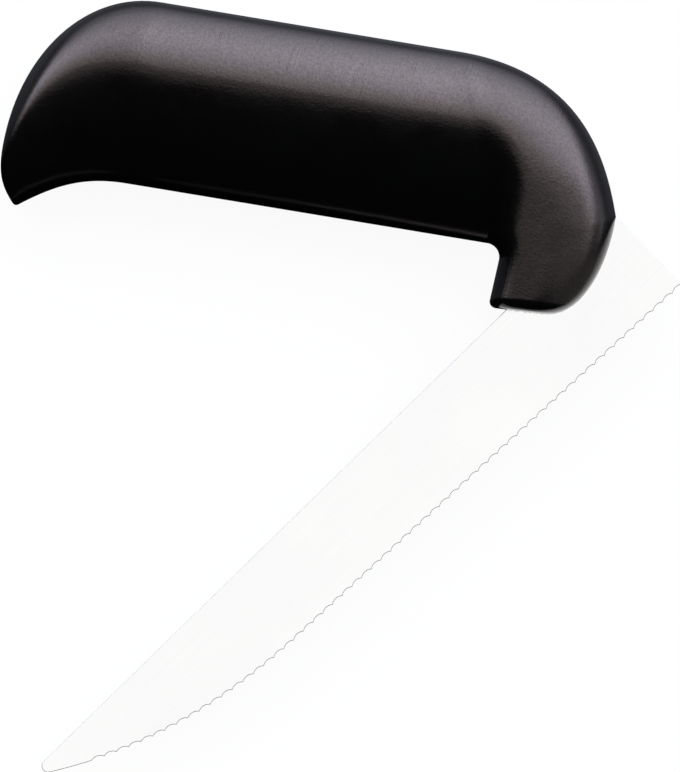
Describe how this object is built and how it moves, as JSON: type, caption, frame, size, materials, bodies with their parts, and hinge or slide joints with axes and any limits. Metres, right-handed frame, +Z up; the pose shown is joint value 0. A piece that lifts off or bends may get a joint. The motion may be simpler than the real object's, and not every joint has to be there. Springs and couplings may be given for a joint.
{
  "type": "angled-handle serrated knife",
  "caption": "Knife whose thick hollow grip with a finger hook is set at an angle to a straight-backed, scalloped stainless blade, so that it is held with an upright fist.",
  "frame": {"origin": "under the middle of the knife's box as it lies flat, at the height of the surface that it lies on", "axes": "+X along the grip from the finger hook to the leg that carries the blade, +Y from the finger side to the palm side, +Z up through the handle's thickness"},
  "size_m": [0.1394, 0.1566, 0.024],
  "materials": {
    "blade_steel": "satin ground",
    "handle_plastic": "satin, finely textured mould",
    "pin_steel": "bright drawn"
  },
  "bodies": {
    "root": {"blade": "blade_steel", "handle_front_shell": "handle_plastic", "handle_rear_shell": "handle_plastic", "tang_pin_lower": "pin_steel", "tang_pin_upper": "pin_steel"}
  },
  "joints": []
}
